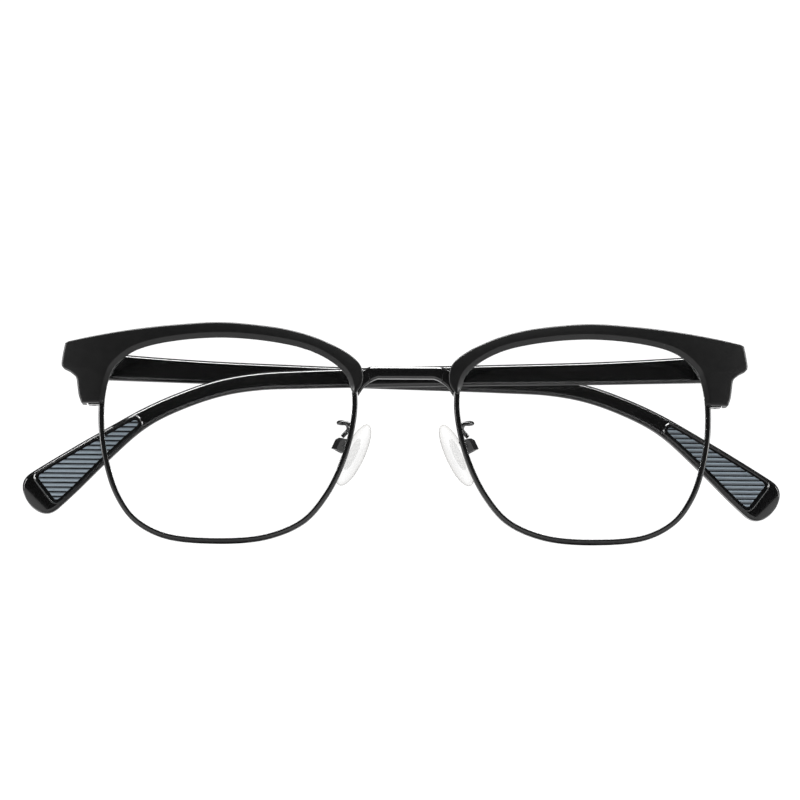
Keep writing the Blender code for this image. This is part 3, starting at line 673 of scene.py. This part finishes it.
def build_blade(word, side, looks):
    """The blade, chamfered on its inner face and eased at its tip, with its leaf's pocket."""
    line = smooth(TEMPLE_LINE, 400)
    share = np.linspace(0, 1, 170)
    rings = []
    for run in (TEMPLE_LENGTH - 0.05) * (1 - (1 - share) ** 1.6):
        spot, up = temple_station(run, line)
        left = tip_share(run)
        half = table(HALF_HEIGHT, run) * left
        near, far = INNER_FACE + TIP_EASE * (1 - left), INNER_FACE + table(THICKNESS, run)
        slope = min(TEMPLE_CHAMFER, 0.4 * half)
        section = rounded([(near, half - slope, 0.12), (near + slope, half, 0.15),
                           (far, half, 0.75), (far, UNDERSIDE_RISE - half, 0.6),
                           (near + 0.5, -half, 0.45), (near, 0.6 - half, 0.2)], 5)
        rings.append([(spot[0] + up[0] * v, u, spot[1] + up[1] * v) for u, v in section])
    place = temple_place(side)
    piece = skin(f"temple_blade_{word}", rings, looks["gloss"], f"temple_{word}",
                 [f"temple_{word}"], side, place=place, sharp=50)
    root = box_rings((-3, 0.5, -POCKET_HALF),
                     (LEAF_REACH + 0.1, INNER_FACE + LEAF_THICK + POCKET_GAP, POCKET_HALF))
    cut(piece, skin("pocket", root, looks["gloss"], None, side=side, place=place))


def insert_edge(run, line, margin):
    """(centre, direction up, half height) of what lies a margin inside the blade's edges."""
    spot, up = temple_station(run, line)
    half = table(HALF_HEIGHT, run) - margin
    return spot, up, half


def build_insert(word, side, looks):
    """The grip panel, with level ribs that run across both temples alike."""
    line = smooth(TEMPLE_LINE, 400)
    place = temple_place(side)
    tilt = math.cos(PANTOSCOPIC)
    rings = []
    for run in np.linspace(INSERT_SPAN[0] + 0.3, INSERT_SPAN[1] - 0.3, 150):
        spot, up, half = insert_edge(run, line, INSERT_MARGIN + PANEL_GAP)
        near_end = min(run - INSERT_SPAN[0], INSERT_SPAN[1] - run, PANEL_CORNER)
        half -= PANEL_CORNER - (PANEL_CORNER ** 2 - (PANEL_CORNER - near_end) ** 2) ** 0.5
        ring = []
        for v in np.linspace(half, -half, 64):
            x, z = spot[0] + up[0] * v, spot[1] + up[1] * v
            height = (z * tilt + HINGE[2] - DATUM_Z) / RIB_PITCH
            wave = 0.5 + 0.5 * math.cos(2 * math.pi * height)
            ring.append((x, INNER_FACE + 0.02 - RIB_HEIGHT * wave, z))
        for v in (-half, half):
            ring.append((spot[0] + up[0] * v, INNER_FACE + 0.35, spot[1] + up[1] * v))
        rings.append(ring)
    skin(f"grip_panel_{word}", rings, looks["insert"], f"temple_{word}",
         [f"temple_insert_{word}"], side, place=place)


def build_lip(word, side, looks):
    """The thin polished ridge round the grip panel."""
    line = smooth(TEMPLE_LINE, 400)
    first, last = INSERT_SPAN[0] - LIP_REACH[0], INSERT_SPAN[1] + LIP_REACH[1]
    outline = []
    for way, runs in ((1, np.linspace(first, last, 8)), (-1, np.linspace(last, first, 8))):
        for run in runs:
            spot, up, half = insert_edge(run, line, LIP_MARGIN)
            outline.append((*(spot + up * half * way), LIP_CORNER))
    path = [(x, INNER_FACE + LIP_SINK, z) for x, z in rounded(outline, 6)]
    skin(f"grip_lip_{word}", tube_rings(path, LIP_RADIUS, 4, closed=True), looks["gloss"],
         f"temple_{word}", side=side, place=temple_place(side), loop=True)


# ---------------------------------------------------------------- nose pads

def pad_place():
    """Pad-local millimetres (x screw axis, y along the pad, z towards the nose)."""
    along = Vector((-math.sin(PAD_LEAN), 0, math.cos(PAD_LEAN)))
    flat = Vector((math.cos(PAD_LEAN), 0, math.sin(PAD_LEAN)))
    facing = (-flat * math.cos(PAD_SPLAY) + Vector((0, 1, 0)) * math.sin(PAD_SPLAY)).normalized()
    turn = Matrix((along.cross(facing), along, facing)).transposed().to_4x4()
    return Matrix.Translation(PAD_BOX) @ turn


def build_pad(word, side, looks):
    """The clear pad and the stiff plate moulded into it."""
    place = pad_place()
    rings = []
    for high, wide, tall, taper, lower in smooth(PAD_LOFTS, 40):
        rings.append([(wide * u * (1 - 0.16 * taper * v), tall * v + lower, high)
                      for u, v in circle(1.0, 48)])
    skin(f"pad_clear_{word}", rings, looks["silicone"], f"nose_pad_{word}", [f"nose_pad_{word}"],
         side, place=place, sharp=60)
    plate = [(PLATE_HALF_WIDTH * u, PLATE_HALF_LENGTH * v - PAD_DROP) for u, v in circle(1.0, 40)]
    rings = [[(x, y, high) for x, y in plate] for high in PLATE_HEIGHTS]
    skin(f"pad_core_{word}", rings, looks["core"], f"nose_pad_{word}", side=side, place=place)


def build_pad_wire(word, side, looks):
    """The bent arm from the rim's back to the top of the pad's box."""
    place = pad_place()
    route = WIRE_ROUTE + [tuple(place @ Vector(spot)) for spot in ((0, 2.1, -0.4), (0, 1.55, -0.6))]
    skin(f"pad_wire_{word}", tube_rings(smooth(route, 70), WIRE_RADIUS, 18), looks["lacquer"],
         "front", [f"pad_arm_{word}"], side)


# ---------------------------------------------------------------- hardware kept from the CAD

HARDWARE_FINISHES = (
    ("hinge_front", "dark_steel"), ("hinge_temple", "lacquer"), ("pad_box", "lacquer"),
    ("rim_lock", "lacquer"), ("brow_lug", "lacquer"), ("temple_core", "steel"),
    ("hinge_rivet", "steel"), ("temple_rivet", "dark_steel"), ("brow_screw", "steel"),
    ("rim_screw", "steel"), ("pad_screw", "dark_steel"), ("hinge_screw", "steel"),
)


def soften_edges(item):
    """A small bevel on the piece's sharp edges, which leaves its mesh alone."""
    soft = item.modifiers.new("soft edges", "BEVEL")
    soft.width = 0.07 * MM
    soft.segments = 2
    soft.limit_method = "ANGLE"
    soft.angle_limit = math.radians(40)


def dress_hardware(looks):
    """A finish for the CAD pieces whose shape is already right, and soft edges on the black ones."""
    for node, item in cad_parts.items():
        for start, finish in HARDWARE_FINISHES:
            if node.startswith(start):
                item.data.materials.clear()
                item.data.materials.append(looks[finish])
                if finish != "steel":
                    soften_edges(item)


# ---------------------------------------------------------------- studio

CAMERA_DISTANCE = 520.0
CAMERA_RISE = math.radians(-8.0)
CAMERA_ROLL = math.radians(0.15)
CAMERA_TURN = math.radians(1.0)
PIXELS_PER_MM = 5.205
AIM = Vector((-1.14, 0.0, 27.7))
SENSOR = 36.0
IMAGE_WIDTH = 800.0
# Lights: name, place in metres, size in metres, power in watts
LIGHTS = [
    ("top softbox", (0.0, 0.07, 0.75), (1.1, 0.16), 16.0),
    ("left strip", (-0.75, 0.0, 0.15), (0.3, 0.6), 6.0),
    ("right strip", (0.75, 0.0, 0.15), (0.3, 0.6), 6.0),
    ("front fill", (0.1, -0.9, 0.5), (0.5, 0.3), 0.4),
]
FLOOR_REACH = 1.2


def build_camera():
    """A long lens in front of the frame and a little below it, looking slightly up."""
    data = bpy.data.cameras.new("camera")
    data.sensor_width = SENSOR
    data.lens = PIXELS_PER_MM * CAMERA_DISTANCE * SENSOR / IMAGE_WIDTH
    data.clip_start = 0.01
    camera = bpy.data.objects.new("camera", data)
    bpy.context.scene.collection.objects.link(camera)
    level = math.cos(CAMERA_RISE)
    ahead = Vector((math.sin(CAMERA_TURN) * level, math.cos(CAMERA_TURN) * level,
                    -math.sin(CAMERA_RISE)))
    camera.location = in_frame(AIM - ahead * CAMERA_DISTANCE)
    upright = ahead.to_track_quat("-Z", "Y").to_matrix()
    camera.rotation_euler = (upright @ Matrix.Rotation(CAMERA_ROLL, 3, "Z")).to_euler()
    bpy.context.scene.camera = camera


def area_light(name, spot, size, power):
    """A soft rectangular light aimed at the frame's origin."""
    data = bpy.data.lights.new(name, "AREA")
    data.shape = "RECTANGLE"
    data.size, data.size_y = size
    data.energy = power
    light = bpy.data.objects.new(name, data)
    light.location = spot
    light.rotation_euler = (-Vector(spot)).to_track_quat("-Z", "Y").to_euler()
    bpy.context.scene.collection.objects.link(light)


def build_world():
    """White to the camera, and a dim even grey for what the gloss reflects."""
    world = bpy.data.worlds.new("studio")
    bpy.context.scene.world = world
    world.use_nodes = True
    tree = world.node_tree
    back = tree.nodes["Background"]
    path = tree.nodes.new("ShaderNodeLightPath")
    strength = tree.nodes.new("ShaderNodeMapRange")
    strength.inputs["To Min"].default_value = 0.05
    strength.inputs["To Max"].default_value = 1.12
    tree.links.new(path.outputs["Is Camera Ray"], strength.inputs["Value"])
    tree.links.new(strength.outputs["Result"], back.inputs["Strength"])
    back.inputs["Color"].default_value = (1, 1, 1, 1)


def build_floor():
    """A grey sheet the rims stand on; from below, where the camera is, it lets the view through."""
    low = cad_bounds[0][2]
    mesh = bmesh.new()
    corners = [(-1, -1), (1, -1), (1, 1), (-1, 1)]
    mesh.faces.new([mesh.verts.new((x * FLOOR_REACH, y * FLOOR_REACH, low)) for x, y in corners])
    data = bpy.data.meshes.new("floor")
    mesh.to_mesh(data)
    mesh.free()
    floor = bpy.data.objects.new("floor", data)
    bpy.context.scene.collection.objects.link(floor)
    made, tree, shader = new_material("grey_floor", (0.4, 0.4, 0.4), 0.6)
    cloud = noise(tree, 14, 3.0)
    tree.links.new(colours_between(tree, cloud, (0.39, 0.39, 0.39), (0.41, 0.41, 0.41)),
                   shader.inputs["Base Color"])
    clear = tree.nodes.new("ShaderNodeBsdfTransparent")
    mix = tree.nodes.new("ShaderNodeMixShader")
    side = tree.nodes.new("ShaderNodeNewGeometry")
    tree.links.new(side.outputs["Backfacing"], mix.inputs["Fac"])
    tree.links.new(shader.outputs["BSDF"], mix.inputs[1])
    tree.links.new(clear.outputs["BSDF"], mix.inputs[2])
    tree.links.new(mix.outputs["Shader"], tree.nodes["Material Output"].inputs["Surface"])
    data.materials.append(made)


build_camera()
materials = make_materials()
for side_word, side_sign in SIDES.items():
    for build in (build_rim, build_lens, build_brow, build_blade, build_insert, build_lip,
                  build_pad, build_pad_wire):
        build(side_word, side_sign, materials)
build_bridge(materials)
dress_hardware(materials)
build_world()
build_floor()
for light in LIGHTS:
    area_light(*light)
bpy.context.scene.view_settings.view_transform = "Standard"
